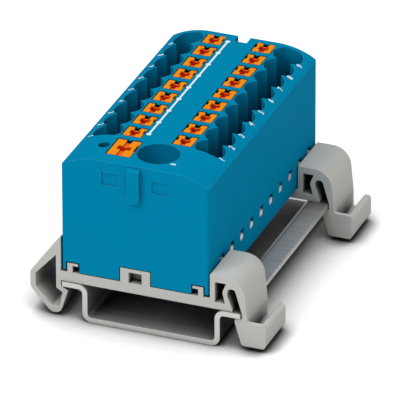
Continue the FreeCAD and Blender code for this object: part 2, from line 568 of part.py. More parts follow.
    repeated = []
    for side, turn in SIDES.items():
        repeated.append(cut_funnel(body, f"{side}_second", f"{turn} * {FUNNEL_X}",
                                   FUNNEL_Y + " + {pole_pitch}", "{funnel_bore}"))
    repeat_poles(body, "middle_funnels", repeated, -2)
    repeated = []
    for side, turn in SIDES.items():
        middle = f"{turn} * {FUNNEL_X}"
        cut_end_funnel(body, f"{side}_first", middle, FUNNEL_Y, -1, "{funnel_front}")
        cut_end_funnel(body, f"{side}_last", middle, FUNNEL_Y + " + " + POLE_SPAN, 1, "{funnel_rear}")
        repeated.append(cut_guide(body, side, middle, FUNNEL_Y, "{guide_wide}"))
        shaft = new_sketch(body, f"{side}_shaft_outline", "XY_Plane",
                           ("0", "{infeed_length}", BLOCK_TOP))
        draw_outline(shaft, shaft_outline(f"{turn} * {BUTTON_X}", "{button_wide}", BUTTON_LONG))
        repeated.append(extrude(body, "Pocket", f"{side}_shaft", shaft, "{roof}"))
        room = new_sketch(body, f"{side}_chamber_outline", "XY_Plane", ("0", "{infeed_length}", "0"))
        draw_box(room, (f"{turn} * {CHAMBER_X}", f"-{CHAMBER_LONG} / 2"),
                 (f"{turn} * {INNER_HALF}", f"{CHAMBER_LONG} / 2"))
        repeated.append(extrude(body, "Pocket", f"{side}_chamber", room, CEILING, True))
    repeat_poles(body, "poles", repeated)
    windows = []
    for side, turn in SIDES.items():
        window = new_sketch(body, f"{side}_window_outline", "YZ_Plane",
                            (FIRST_WINDOW, "0", f"{turn} * {HALF_WIDTH}"))
        draw_box(window, ("-{window_wide} / 2", WINDOW_BOTTOM),
                 ("{window_wide} / 2", BUS_ROOF + " + {window_rise}"))
        windows.append(extrude(body, "Pocket", f"{side}_window", window,
                               "{wall_side} + {bus_gap} / 2", turn < 0))
    repeat_poles(body, "windows", windows, 1)
    return body


def cut_funnel(body, name, x, y, bore):
    """The round bore of a wire funnel."""
    hole = new_sketch(body, f"{name}_funnel_outline", "XY_Plane", ("0", "0", BLOCK_TOP))
    draw_circle(hole, x, y, bore)
    return extrude(body, "Pocket", f"{name}_funnel", hole, "{funnel_depth}")


def cut_end_funnel(body, name, x, y, end, flat):
    """The bore at an end of a row, with a flat wall: end is -1 in front of it and 1 behind it."""
    radius = "({funnel_bore} / 2)"
    chord = f"sqrt({radius} ^ 2 - {flat} ^ 2)"
    hole = new_sketch(body, f"{name}_funnel_outline", "XY_Plane", ("0", "0", BLOCK_TOP))
    draw_outline(hole, [
        (f"{x} + {end} * {chord}", f"{y} + {end} * {flat}"),
        (f"{x} - {end} * {chord}", f"{y} + {end} * {flat}", radius, 1),
        (x, f"{y} - {end} * {radius}", radius, 1),
    ])
    extrude(body, "Pocket", f"{name}_funnel", hole, "{funnel_depth}")


def cut_guide(body, name, x, y, guide):
    """The tapered square guide that leads from a funnel to its chamber."""
    floor = "(" + BLOCK_TOP + " - {funnel_depth})"
    square = new_sketch(body, f"{name}_guide_outline", "XY_Plane", ("0", "0", floor))
    draw_box(square, (f"{x} - {guide} / 2", f"{y} - {guide} / 2"),
             (f"{x} + {guide} / 2", f"{y} + {guide} / 2"))
    lead = extrude(body, "Pocket", f"{name}_guide", square, floor + " - " + CEILING + " + {lip_gap}")
    lead.setExpression("TaperAngle", bound("{guide_slope} * -1 deg"))
    return lead


def make_cover():
    """The plate that closes the chambers from below and holds the hooks of the feet."""
    body = new_body("bottom_cover", BLOCK_PLACE)
    half = "(" + INNER_HALF + " - {cover_gap})"
    front = "({wall_end} + {cover_gap})"
    rear = "(" + BLOCK_LENGTH + " - {wall_end} - {cover_gap})"
    outline = new_sketch(body, "cover_outline", "XY_Plane")
    draw_box(outline, ("-" + half, front), (half, rear))
    extrude(body, "Pad", "cover_plate", outline, "{cover_thick}")
    hollow = new_sketch(body, "cover_hollow_outline", "XY_Plane")
    margin = "(" + SLOT_LONG + " + {cover_skin})"
    draw_box(hollow, ("-" + half + " + {cover_skin}", margin),
             (half + " - {cover_skin}", BLOCK_LENGTH + " - " + margin))
    extrude(body, "Pocket", "cover_hollow", hollow, "{cover_thick} - {cover_skin}", True)
    for end, start in (("front", "0"), ("rear", "(" + BLOCK_LENGTH + " - " + SLOT_LONG + ")")):
        slots = new_sketch(body, f"cover_{end}_slots", "XZ_Plane", ("0", "0", "-" + start))
        clip = "({clip_wide} / 2 + {clip_gap})"
        draw_box(slots, ("-" + clip, "0"), (clip, "{clip_height} + {clip_gap}"))
        for turn in SIDES.values():
            arm_end = f"({turn} * ({POST_X} - {{arm_long}} - {{post_gap}}))"
            ledge = f"({turn} * ({POST_X} - {{post_wall}} - {{post_gap}}))"
            ledge_top = "({post_height} - {arm_thick} - {post_gap})"
            outside = f"({turn} * {HALF_WIDTH})"
            draw_outline(slots, [
                (ledge, "0"), (ledge, ledge_top), (arm_end, ledge_top),
                (arm_end, "{post_height} + {post_gap}"), (outside, "{post_height} + {post_gap}"),
                (outside, "0"),
            ])
        extrude(body, "Pocket", f"cover_{end}_cut", slots, SLOT_LONG)
    return body


def make_busbar():
    """The tinned bar that joins every terminal, with a contact tongue for each."""
    body = new_body("busbar", BLOCK_PLACE)
    front = "({wall_end} + {cover_gap})"
    rear = "(" + BLOCK_LENGTH + " - {wall_end} - {cover_gap})"
    outline = new_sketch(body, "bus_outline", "XY_Plane", ("0", "0", "{cover_thick}"))
    draw_box(outline, ("-" + BUS_HALF, front), (BUS_HALF, rear))
    extrude(body, "Pad", "bus_plate", outline, "{bus_sheet}")
    infeed = new_sketch(body, "infeed_tongue_outline", "XY_Plane", ("0", INFEED_Y, BUS_TOP))
    half = "({infeed_chamber} / 2 - {tongue_gap})"
    draw_box(infeed, (INFEED_TONGUE + " - {tongue_sheet}", "-" + half), (INFEED_TONGUE, half))
    extrude(body, "Pad", "infeed_contact", infeed, TONGUE_RISE)
    repeated = []
    for side, turn in SIDES.items():
        tongue = new_sketch(body, f"{side}_tongue_outline", "XY_Plane",
                            ("0", "{infeed_length}", BUS_TOP))
        half = "(" + CHAMBER_LONG + " / 2 - {tongue_gap})"
        draw_box(tongue, (f"{turn} * ({BUS_HALF} - {{tongue_sheet}})", "-" + half),
                 (f"{turn} * {BUS_HALF}", half))
        repeated.append(extrude(body, "Pad", f"{side}_contact", tongue, TONGUE_RISE))
    repeat_poles(body, "bus_poles", repeated)
    lugs = []
    for side, turn in SIDES.items():
        lug = new_sketch(body, f"{side}_lug_outline", "XY_Plane",
                         ("0", FIRST_WINDOW + " - {lug_shift}", "{cover_thick}"))
        draw_box(lug, (f"{turn} * ({BUS_HALF} - {{tongue_sheet}})", "-{lug_wide} / 2"),
                 (f"{turn} * ({HALF_WIDTH} - {{lug_sink}})", "{lug_wide} / 2"))
        lugs.append(extrude(body, "Pad", f"{side}_lug", lug, "{bus_sheet}"))
    repeat_poles(body, "bus_lugs", lugs, 1)
    return body


def make_spring(name, turn, middle, pole, loop, tongue, wide):
    """A bent strip: a leg on the busbar, a round bend and the leg that clamps the wire."""
    body = new_body(name, (BLOCK_MIDDLE, f"{BLOCK_FRONT} + {pole}", BLOCK_BASE))
    section = new_sketch(body, f"{name}_section", "XZ_Plane", (middle, "0", f"-{wide} / 2"))
    inner = "({loop_radius} - {spring_sheet} / 2)"
    outer = "({loop_radius} + {spring_sheet} / 2)"
    centre = "(" + BUS_TOP + " + " + outer + ")"
    slope = "({clamp_angle} * 1 deg)"
    leg = f"(({tongue} - {{tip_gap}} - {loop} - {outer} * sin({slope})) / cos({slope}))"

    def along(radius, length):
        x = f"{turn} * ({loop} + {radius} * sin({slope}) + {length} * cos({slope}))"
        return x, f"{centre} + {radius} * cos({slope}) - {length} * sin({slope})"

    foot = f"{turn} * ({tongue} - 2 * {{tip_gap}})"
    draw_outline(section, [
        (foot, BUS_TOP), (f"{turn} * {loop}", BUS_TOP, outer, -turn), along(outer, "0"),
        along(outer, leg), along(inner, leg), (*along(inner, "0"), inner, turn),
        (f"{turn} * {loop}", BUS_TOP + " + {spring_sheet}"), (foot, BUS_TOP + " + {spring_sheet}"),
    ])
    extrude(body, "Pad", f"{name}_strip", section, wide)
    return body


def make_button(name, turn, x, pole, loop, wide, long, notch, slot, inside):
    """A push button: a keyed stem with a screwdriver slot, a retaining lip and a sloped foot.

    The notch in its side faces the block's middle: inside is -1 or 1 for that direction.
    """
    body = new_body(name, (BLOCK_MIDDLE, f"{BLOCK_FRONT} + {pole}", BLOCK_BASE))
    slope = "({clamp_angle} * 1 deg)"
    outer = "({loop_radius} + {spring_sheet} / 2)"
    centre = "(" + BUS_TOP + " + " + outer + ")"

    def foot_height(distance):
        rise = f"({outer} / cos({slope}) - ({distance} - {loop}) * tan({slope}))"
        return f"{centre} + {rise} + {{button_rest}}"

    top = "(" + BLOCK_TOP + " - {button_sink})"
    inner, edge = f"({x} - {wide} / 2)", f"({x} + {wide} / 2)"
    lip = "(" + CEILING + " - {lip_gap})"
    section = new_sketch(body, f"{name}_section", "XZ_Plane", ("0", "0", f"-{long} / 2"))
    draw_outline(section, [
        (f"{turn} * {inner}", foot_height(inner)), (f"{turn} * {inner}", top),
        (f"{turn} * {edge}", top), (f"{turn} * {edge}", lip),
        (f"{turn} * ({edge} + {{button_lip}})", lip),
        (f"{turn} * ({edge} + {{button_lip}})", foot_height(f"({edge} + {{button_lip}})")),
    ])
    extrude(body, "Pad", f"{name}_stem", section, long)
    notches = new_sketch(body, f"{name}_notches", "XY_Plane", ("0", "0", top))
    draw_box(notches, (f"{turn} * {x} - {{end_notch_wide}} / 2", f"{long} / 2 - {{end_notch_deep}}"),
             (f"{turn} * {x} + {{end_notch_wide}} / 2", f"{long} / 2 + 1"))
    side = f"{turn} * ({x} + {inside} * ({wide} / 2 "
    draw_box(notches, (side + "+ 1))", f"{{side_notch_place}} - {notch} / 2"),
             (side + "- {side_notch_deep}))", f"{{side_notch_place}} + {notch} / 2"))
    extrude(body, "Pocket", f"{name}_keyways", notches, top + " - " + lip)
    recess = new_sketch(body, f"{name}_slot_outline", "XY_Plane", ("0", "{slot_shift}", top))
    centre = f"{turn} * {x}"
    draw_box(recess, (f"{centre} - {slot} / 2", "-{slot_wide} / 2"),
             (f"{centre} + {slot} / 2", "{slot_wide} / 2"))
    extrude(body, "Pocket", f"{name}_slot", recess, "{slot_deep}")
    channel = new_sketch(body, f"{name}_channel_outline", "XY_Plane", ("0", "0", top))
    draw_box(channel, (f"{centre} - {{channel_wide}} / 2", f"-{long} / 2 - 1"),
             (f"{centre} + {{channel_wide}} / 2", f"{long} / 2"))
    extrude(body, "Pocket", f"{name}_channel", channel, "{channel_deep}")
    return body


def check_document():
    """Stop if a feature failed."""
    failed = [item.Name for item in document.Objects
              if "Invalid" in item.State or "Error" in item.State]
    if failed:
        raise RuntimeError("failed features: " + ", ".join(failed))


def write_parts(bodies):
    """Check each sub-part's solid and write its file."""
    os.makedirs(PART_FOLDER, exist_ok=True)
    for body in bodies:
        shape = body.Shape
        if shape.isNull() or not shape.isValid() or not shape.Solids:
            raise RuntimeError(f"{body.Label} has no valid solid")
        shape.exportStep(os.path.join(PART_FOLDER, f"{body.Label}.step"))


bodies = [
    make_rail(),
    make_foot("front_foot", BLOCK_FRONT),
    make_foot("rear_foot", "(" + BLOCK_LENGTH + " / 2 - {foot_long})"),
    make_housing(),
    make_cover(),
    make_busbar(),
    make_button("infeed_button", 1, "(-{infeed_button})", INFEED_Y, "(-" + INFEED_LOOP + ")",
                "{infeed_button_wide}", "{infeed_button_long}", "{infeed_notch_long}",
                "{infeed_slot_long}", 1),
    make_spring("infeed_spring", 1, "0", INFEED_Y, "(-" + INFEED_LOOP + ")",
                "(" + INFEED_TONGUE + " - {tongue_sheet})", "({infeed_chamber} - 2 * {spring_gap})"),
]
for side, turn in SIDES.items():
    for pole in range(int(number("{pole_count}"))):
        place = f"({{infeed_length}} + {pole} * {{pole_pitch}})"
        bodies.append(make_button(
            f"{side}_button_{pole + 1}", turn, BUTTON_X, place, LOOP_X, "{button_wide}",
            BUTTON_LONG, "{side_notch_long}", "{slot_long}", -1))
        bodies.append(make_spring(
            f"{side}_spring_{pole + 1}", turn, "0", place, LOOP_X,
            f"({BUS_HALF} - {{tongue_sheet}})", f"({CHAMBER_LONG} - 2 * {{spring_gap}})"))
document.recompute()
check_document()
write_parts(bodies)
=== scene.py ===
"""Looks of a push-in distribution block that two feet clip on a piece of top-hat rail."""
import json
import logging
import math
from dataclasses import dataclass, field, replace
from enum import Enum

import bpy
from mathutils import Matrix, Vector

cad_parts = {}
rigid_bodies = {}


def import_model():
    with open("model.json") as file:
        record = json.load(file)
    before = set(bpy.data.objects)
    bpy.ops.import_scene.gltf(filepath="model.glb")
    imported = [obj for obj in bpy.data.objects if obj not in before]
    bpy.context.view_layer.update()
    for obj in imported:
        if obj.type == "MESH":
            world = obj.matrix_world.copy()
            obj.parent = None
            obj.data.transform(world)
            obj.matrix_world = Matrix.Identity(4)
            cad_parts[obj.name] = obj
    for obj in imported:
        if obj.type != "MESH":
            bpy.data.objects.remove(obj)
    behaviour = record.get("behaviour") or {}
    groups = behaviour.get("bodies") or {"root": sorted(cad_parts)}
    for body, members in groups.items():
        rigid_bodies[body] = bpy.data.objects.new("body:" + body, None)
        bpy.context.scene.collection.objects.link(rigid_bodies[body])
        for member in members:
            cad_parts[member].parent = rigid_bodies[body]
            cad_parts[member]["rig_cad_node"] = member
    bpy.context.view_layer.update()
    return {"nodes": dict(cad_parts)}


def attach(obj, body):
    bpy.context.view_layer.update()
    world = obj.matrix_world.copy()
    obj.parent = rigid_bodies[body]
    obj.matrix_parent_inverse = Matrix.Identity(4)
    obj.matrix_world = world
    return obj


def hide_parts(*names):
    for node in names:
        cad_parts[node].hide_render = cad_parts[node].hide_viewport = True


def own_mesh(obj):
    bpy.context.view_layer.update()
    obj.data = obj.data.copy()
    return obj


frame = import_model()

LOG = logging.getLogger("distribution_block")
MM = 0.001
PICTURE_SIDE = 400
SENSOR_MM = 36.0
WHITE = "#FFFFFF"
SKY_SAMPLES = 8
ROUNDING_SAMPLES = 4
EDGE_SAMPLES = 6
GRAIN_DETAIL = 2.0
CLOUD_DETAIL = 3.0
CLOUD_ROUGHNESS = 0.6
STREAK_DETAIL = 4.0


class Row(Enum):
    """The two rows of outlets, with the way that each lies from the block's middle."""

    RIGHT = 1
    LEFT = -1


@dataclass(frozen=True)
class Band:
    """A rectangle seen from above, from its lowest to its highest x and y."""

    left: float
    right: float
    near: float
    far: float


def linear(code: str) -> tuple[float, float, float, float]:
    """Turn an sRGB hex colour into the linear values that shaders take.

    Args:
        code: six hex digits after a hash sign.

    Returns:
        Linear red, green and blue, and an opacity of one.
    """
    values = [int(code[place:place + 2], 16) / 255 for place in (1, 3, 5)]
    parts = [v / 12.92 if v <= 0.04045 else ((v + 0.055) / 1.055) ** 2.4 for v in values]
    return (parts[0], parts[1], parts[2], 1.0)


def per_metre(spacing_mm: float) -> float:
    """Texture scale that repeats a pattern at a spacing given in millimetres."""
    return 1.0 / (spacing_mm * MM)


def add_node(tree: bpy.types.NodeTree, kind: str, settings: dict | None = None,
             links: dict | None = None) -> bpy.types.Node:
    """Add one shader node.

    Args:
        tree: the material's or world's node tree.
        kind: the node's type name.
        settings: the node's own options.
        links: for each input, by name or number, a constant or the output that feeds it.

    Returns:
        The new node.
    """
    node = tree.nodes.new(kind)
    for name, value in (settings or {}).items():
        setattr(node, name, value)
    for socket, value in (links or {}).items():
        if isinstance(value, bpy.types.NodeSocket):
            tree.links.new(value, node.inputs[socket])
        else:
            node.inputs[socket].default_value = value
    return node


@dataclass(frozen=True)
class Finish:
    """What every finish shares: its name, and how wide its edges are broken."""

    name: str
    edge_mm: float = 0.12

    def start(self) -> tuple[bpy.types.Material, bpy.types.NodeTree, bpy.types.NodeSocket]:
        """Make an empty material.

        Returns:
            The material, its tree and the object coordinates.
        """
        material = bpy.data.materials.new(self.name)
        material.use_nodes = True
        tree = material.node_tree
        tree.nodes.clear()
        place = add_node(tree, "ShaderNodeTexCoord").outputs["Object"]
        return material, tree, place

    def edges(self, tree: bpy.types.NodeTree) -> bpy.types.NodeSocket:
        """Normals that round every edge by the finish's edge width."""
        bevel = add_node(tree, "ShaderNodeBevel", {"samples": ROUNDING_SAMPLES}, {
            "Radius": self.edge_mm * MM})
        return bevel.outputs["Normal"]

    def shade_crevices(self, tree: bpy.types.NodeTree, base: bpy.types.NodeSocket,
                       reach_mm: float, deepest: float,
                       span: tuple[float, float]) -> bpy.types.NodeSocket:
        """Darken a colour where little light gets in: gaps, corners and hollows.

        Args:
            tree: the material's tree.
            base: the colour of the open surfaces.
            reach_mm: how far away a surface still shades another.
            deepest: the share of the colour that is left in the darkest place.
            span: the openness of the darkest place and of a place that keeps its colour.

        Returns:
            The shaded colour.
        """
        open_sky = add_node(tree, "ShaderNodeAmbientOcclusion", {"samples": SKY_SAMPLES}, {
            "Distance": reach_mm * MM})
        share = add_node(tree, "ShaderNodeMapRange", {}, {
            "Value": open_sky.outputs["AO"], "From Min": span[0], "From Max": span[1],
            "To Min": deepest, "To Max": 1.0})
        darker = {"data_type": "RGBA", "blend_type": "MULTIPLY"}
        shaded = add_node(tree, "ShaderNodeMix", darker, {
            "Factor": 1.0, 6: base, 7: share.outputs["Result"]})
        return shaded.outputs[2]

    def close(self, tree: bpy.types.NodeTree, shader: bpy.types.Node) -> None:
        """Send the shader to the material's output."""
        add_node(tree, "ShaderNodeOutputMaterial", {}, {"Surface": shader.outputs[0]})


@dataclass(frozen=True)
class MouldedPlastic(Finish):
    """Injection-moulded polyamide: eroded mould steel leaves it an even satin grain.

    The real grain is about 0.05 mm wide. It is drawn coarser, so that it shows in the picture.
    """

    colour: str = "#888888"
    shade: str = "#808080"
    cloud_mm: float = 9.0
    roughness: float = 0.42
    smoother: float = 0.05
    rougher: float = 0.06
    grain_mm: float = 0.22
    grain_height: float = 0.10
    grain_depth_mm: float = 0.02
    gloss: float = 0.3
    ior: float = 1.5
    crevice_mm: float = 1.2
    crevice: float = 0.35
    crevice_span: tuple[float, float] = (0.1, 0.55)
    # Painted shade in the driver slots: darker red on walls, lighter red on floors, below the
    # mouths.
    recess: str = ""
    recess_floor: str = ""
    recess_below: float = 0.0
    recess_above: float = 0.0
    floor_facing: float = 0.5
    bands: tuple[Band, ...] = ()
    band_floor: float = 0.0
    rim: str = "#03202E"
    rim_mm: float = 0.34
    rim_span: tuple[float, float] = (0.965, 0.999)
    wells: tuple[Band, ...] = ()
    well: str = "#053450"
    well_share: float = 0.8
    well_floor: float = 0.0
    well_mouth: float = 0.0
    # Painted highlight along the edges, with some scuffing where patches break it up.
    worn: str = ""
    worn_mm: float = 0.3
    worn_share: float = 0.45
    worn_span: tuple[float, float] = (0.85, 0.995)
    scuff_mm: float = 1.1
    scuff_span: tuple[float, float] = (0.35, 0.6)
    scuff_least: float = 0.35

    def build(self) -> bpy.types.Material:
        """Make the material.

        Returns:
            The material, with every shade that the finish asks for.
        """
        material, tree, place = self.start()
        cloud = add_node(tree, "ShaderNodeTexNoise", {}, {
            "Vector": place, "Scale": per_metre(self.cloud_mm), "Detail": CLOUD_DETAIL,
            "Roughness": CLOUD_ROUGHNESS})
        grain = add_node(tree, "ShaderNodeTexNoise", {}, {
            "Vector": place, "Scale": per_metre(self.grain_mm), "Detail": GRAIN_DETAIL})
        colour = add_node(tree, "ShaderNodeMix", {"data_type": "RGBA"}, {
            "Factor": cloud.outputs["Fac"], 6: linear(self.colour), 7: linear(self.shade)})
        base = colour.outputs[2]
        # Painted shade in the driver slots.
        if self.recess:
            base = self.darken_recess(tree, place, base)
        # Painted highlight along the edges, with some scuffing.
        if self.worn:
            base = self.wear_edges(tree, place, base)
        for band in self.wells:
            base = self.shade_well(tree, place, base, band)
        for band in self.bands:
            base = self.shade_gaps(tree, place, base, band)
        base = self.shade_crevices(tree, base, self.crevice_mm, self.crevice, self.crevice_span)
        rough = add_node(tree, "ShaderNodeMapRange", {}, {
            "Value": grain.outputs["Fac"], "To Min": self.roughness - self.smoother,
            "To Max": self.roughness + self.rougher})
        bump = add_node(tree, "ShaderNodeBump", {}, {
            "Strength": self.grain_height, "Distance": self.grain_depth_mm * MM,
            "Height": grain.outputs["Fac"], "Normal": self.edges(tree)})
        shader = add_node(tree, "ShaderNodeBsdfPrincipled", {}, {
            "Base Color": base, "Roughness": rough.outputs["Result"], "IOR": self.ior,
            "Specular IOR Level": self.gloss, "Normal": bump.outputs["Normal"]})
        self.close(tree, shader)
        return material

    def darken_recess(self, tree: bpy.types.NodeTree, place: bpy.types.NodeSocket,
                      base: bpy.types.NodeSocket) -> bpy.types.NodeSocket:
        """Paint shade into the translucent plastic's driver slots: darker red on their walls
        and lighter red on their floors.

        Args:
            tree: the material's tree.
            place: object coordinates.
            base: the colour of the open surfaces.

        Returns:
            The colour with the painted shade in the slots.
        """
        normal = add_node(tree, "ShaderNodeTexCoord").outputs["Normal"]
        facing = add_node(tree, "ShaderNodeSeparateXYZ", {}, {"Vector": normal})
        level = add_node(tree, "ShaderNodeMath", {"operation": "GREATER_THAN"}, {
            0: facing.outputs["Z"], 1: self.floor_facing})
        deep = add_node(tree, "ShaderNodeMix", {"data_type": "RGBA"}, {
            "Factor": level.outputs[0], 6: linear(self.recess), 7: linear(self.recess_floor)})
        parts = add_node(tree, "ShaderNodeSeparateXYZ", {}, {"Vector": place})
        depth = add_node(tree, "ShaderNodeMapRange", {}, {
            "Value": parts.outputs["Z"], "From Min": self.recess_below,
            "From Max": self.recess_above})
        colour = add_node(tree, "ShaderNodeMix", {"data_type": "RGBA"}, {
            "Factor": depth.outputs["Result"], 6: deep.outputs[2], 7: base})
        return colour.outputs[2]

    def wear_edges(self, tree: bpy.types.NodeTree, place: bpy.types.NodeSocket,
                   base: bpy.types.NodeSocket) -> bpy.types.NodeSocket:
        """Pale the moulded edges a little and unevenly: a painted highlight, with some scuffing
        where patches break it up.

        Args:
            tree: the material's tree.
            place: object coordinates.
            base: the colour of the open surfaces.

        Returns:
            The colour with the painted edge highlight and scuffing in it.
        """
        rounded = add_node(tree, "ShaderNodeBevel", {"samples": EDGE_SAMPLES}, {
            "Radius": self.worn_mm * MM})
        facing = add_node(tree, "ShaderNodeNewGeometry").outputs["Normal"]
        lean = add_node(tree, "ShaderNodeVectorMath", {"operation": "DOT_PRODUCT"}, {
            0: rounded.outputs["Normal"], 1: facing})
        edge = add_node(tree, "ShaderNodeMapRange", {}, {
            "Value": lean.outputs["Value"], "From Min": self.worn_span[0],
            "From Max": self.worn_span[1], "To Min": self.worn_share, "To Max": 0.0})
        patches = add_node(tree, "ShaderNodeTexNoise", {}, {
            "Vector": place, "Scale": per_metre(self.scuff_mm), "Detail": CLOUD_DETAIL})
        uneven = add_node(tree, "ShaderNodeMapRange", {}, {
            "Value": patches.outputs["Fac"], "From Min": self.scuff_span[0],
            "From Max": self.scuff_span[1], "To Min": self.scuff_least})
        share = add_node(tree, "ShaderNodeMath", {"operation": "MULTIPLY"}, {
            0: edge.outputs["Result"], 1: uneven.outputs["Result"]})
        colour = add_node(tree, "ShaderNodeMix", {"data_type": "RGBA"}, {
            "Factor": share.outputs[0], 6: base, 7: linear(self.worn)})
        return colour.outputs[2]

    def inside(self, tree: bpy.types.NodeTree, parts: bpy.types.Node,
               band: Band) -> bpy.types.NodeSocket:
        """Tell the places over a band from the others.

        Args:
            tree: the material's tree.
            parts: the node that gives the object coordinates one by one.
            band: the band's limits, in metres.

        Returns:
            One over the band, and nought elsewhere.
        """
        across = add_node(tree, "ShaderNodeMath", {"operation": "COMPARE"}, {
            0: parts.outputs["X"], 1: (band.left + band.right) / 2,
            2: (band.right - band.left) / 2})
        along = add_node(tree, "ShaderNodeMath", {"operation": "COMPARE"}, {
            0: parts.outputs["Y"], 1: (band.near + band.far) / 2,
            2: (band.far - band.near) / 2})
        both = add_node(tree, "ShaderNodeMath", {"operation": "MULTIPLY"}, {
            0: across.outputs[0], 1: along.outputs[0]})
        return both.outputs[0]

    def shade_well(self, tree: bpy.types.NodeTree, place: bpy.types.NodeSocket,
                   base: bpy.types.NodeSocket, band: Band) -> bpy.types.NodeSocket:
        """Darken the wire holes towards their floors, where hardly any light comes down.

        Args:
            tree: the material's tree.
            place: object coordinates.
            base: the colour of the open surfaces.
            band: the limits of one row of holes, in metres.

        Returns:
            The colour with the dark holes in it.
        """
        parts = add_node(tree, "ShaderNodeSeparateXYZ", {}, {"Vector": place})
        depth = add_node(tree, "ShaderNodeMapRange", {}, {
            "Value": parts.outputs["Z"], "From Min": self.well_floor,
            "From Max": self.well_mouth, "To Min": self.well_share, "To Max": 0.0})
        share = add_node(tree, "ShaderNodeMath", {"operation": "MULTIPLY"}, {
            0: self.inside(tree, parts, band), 1: depth.outputs["Result"]})
        colour = add_node(tree, "ShaderNodeMix", {"data_type": "RGBA"}, {
            "Factor": share.outputs[0], 6: base, 7: linear(self.well)})
        return colour.outputs[2]

    def shade_gaps(self, tree: bpy.types.NodeTree, place: bpy.types.NodeSocket,
                   base: bpy.types.NodeSocket, band: Band) -> bpy.types.NodeSocket:
        """Darken the narrow gaps round a row of push buttons, and the edges that face them.

        Args:
            tree: the material's tree.
            place: object coordinates.
            base: the colour of the open surfaces.
            band: the limits of one row of buttons, in metres.

        Returns:
            The colour with the dark gaps in it.
        """
        parts = add_node(tree, "ShaderNodeSeparateXYZ", {}, {"Vector": place})
        high = add_node(tree, "ShaderNodeMath", {"operation": "GREATER_THAN"}, {
            0: parts.outputs["Z"], 1: self.band_floor})
        within = add_node(tree, "ShaderNodeMath", {"operation": "MULTIPLY"}, {
            0: self.inside(tree, parts, band), 1: high.outputs[0]})
        rounded = add_node(tree, "ShaderNodeBevel", {"samples": EDGE_SAMPLES}, {
            "Radius": self.rim_mm * MM})
        lean = add_node(tree, "ShaderNodeSeparateXYZ", {}, {
            "Vector": rounded.outputs["Normal"]})
        edge = add_node(tree, "ShaderNodeMapRange", {}, {
            "Value": lean.outputs["Z"], "From Min": self.rim_span[0],
            "From Max": self.rim_span[1], "To Min": 1.0, "To Max": 0.0})
        dark = add_node(tree, "ShaderNodeMath", {"operation": "MULTIPLY"}, {
            0: within.outputs[0], 1: edge.outputs["Result"]})
        colour = add_node(tree, "ShaderNodeMix", {"data_type": "RGBA"}, {
            "Factor": dark.outputs[0], 6: base, 7: linear(self.rim)})
        return colour.outputs[2]


@dataclass(frozen=True)
class RolledStrip(Finish):
    """Cold-rolled strip, plated or bare: faint streaks cross it and its sawn ends are matt.

    Real rolling streaks are under 0.1 mm wide. They are drawn wide enough to show.
    """

    colour: str = "#A0A0A0"
    streak: str = "#909090"
    roughness: float = 0.36
    smoother: float = 0.06
    rougher: float = 0.08
    metal: float = 1.0
    sawn: str = "#A0A0A0"
    sawn_metal: float = 1.0
    end_facing: float = 0.9
    streak_mm: float = 0.35
    streak_stretch: float = 0.04
    streak_height: float = 0.12
    streak_depth_mm: float = 0.01
    cloud_mm: float = 6.0
    crevice_mm: float = 1.0
    crevice: float = 0.4
    crevice_span: tuple[float, float] = (0.1, 0.55)

    def build(self) -> bpy.types.Material:
        """Make the material.

        Returns:
            The material, streaked across and plain at the sawn ends.
        """
        material, tree, place = self.start()
        stretch = (self.streak_stretch, 1.0, self.streak_stretch)
        along = add_node(tree, "ShaderNodeMapping", {}, {"Vector": place, "Scale": stretch})
        streaks = add_node(tree, "ShaderNodeTexNoise", {}, {
            "Vector": along.outputs["Vector"], "Scale": per_metre(self.streak_mm),
            "Detail": STREAK_DETAIL})
        cloud = add_node(tree, "ShaderNodeTexNoise", {}, {
            "Vector": place, "Scale": per_metre(self.cloud_mm), "Detail": CLOUD_DETAIL})
        colour = add_node(tree, "ShaderNodeMix", {"data_type": "RGBA"}, {
            "Factor": streaks.outputs["Fac"], 6: linear(self.colour), 7: linear(self.streak)})
        ends = self.find_ends(tree)
        shaded = self.shade_crevices(tree, colour.outputs[2], self.crevice_mm, self.crevice,
                                     self.crevice_span)
        painted = add_node(tree, "ShaderNodeMix", {"data_type": "RGBA"}, {
            "Factor": ends, 6: shaded, 7: linear(self.sawn)})
        rough = add_node(tree, "ShaderNodeMapRange", {}, {
            "Value": cloud.outputs["Fac"], "To Min": self.roughness - self.smoother,
            "To Max": self.roughness + self.rougher})
        bump = add_node(tree, "ShaderNodeBump", {}, {
            "Strength": self.streak_height, "Distance": self.streak_depth_mm * MM,
            "Height": streaks.outputs["Fac"], "Normal": self.edges(tree)})
        shader = add_node(tree, "ShaderNodeBsdfPrincipled", {}, {
            "Base Color": painted.outputs[2], "Metallic": self.plating(tree, ends),
            "Roughness": rough.outputs["Result"], "Normal": bump.outputs["Normal"]})
        self.close(tree, shader)
        return material

    def plating(self, tree: bpy.types.NodeTree,
                ends: bpy.types.NodeSocket) -> bpy.types.NodeSocket | float:
        """How metallic the strip is, which may differ at its sawn ends.

        Args:
            tree: the material's tree.
            ends: one on the sawn ends.

        Returns:
            One value for the whole strip, or the output that tells the ends from the rest.
        """
        if self.metal == self.sawn_metal:
            return self.metal
        metal = add_node(tree, "ShaderNodeMapRange", {}, {
            "Value": ends, "To Min": self.metal, "To Max": self.sawn_metal})
        return metal.outputs["Result"]

    def find_ends(self, tree: bpy.types.NodeTree) -> bpy.types.NodeSocket:
        """Tell the sawn ends from the other faces.

        Args:
            tree: the material's tree.

        Returns:
            One on the faces that look along the strip, and nought on the others.
        """
        normal = add_node(tree, "ShaderNodeTexCoord").outputs["Normal"]
        parts = add_node(tree, "ShaderNodeSeparateXYZ", {}, {"Vector": normal})
        along = add_node(tree, "ShaderNodeMath", {"operation": "ABSOLUTE"}, {
            0: parts.outputs["Y"]})
        ends = add_node(tree, "ShaderNodeMath", {"operation": "GREATER_THAN"}, {
            0: along.outputs[0], 1: self.end_facing})
        return ends.outputs[0]


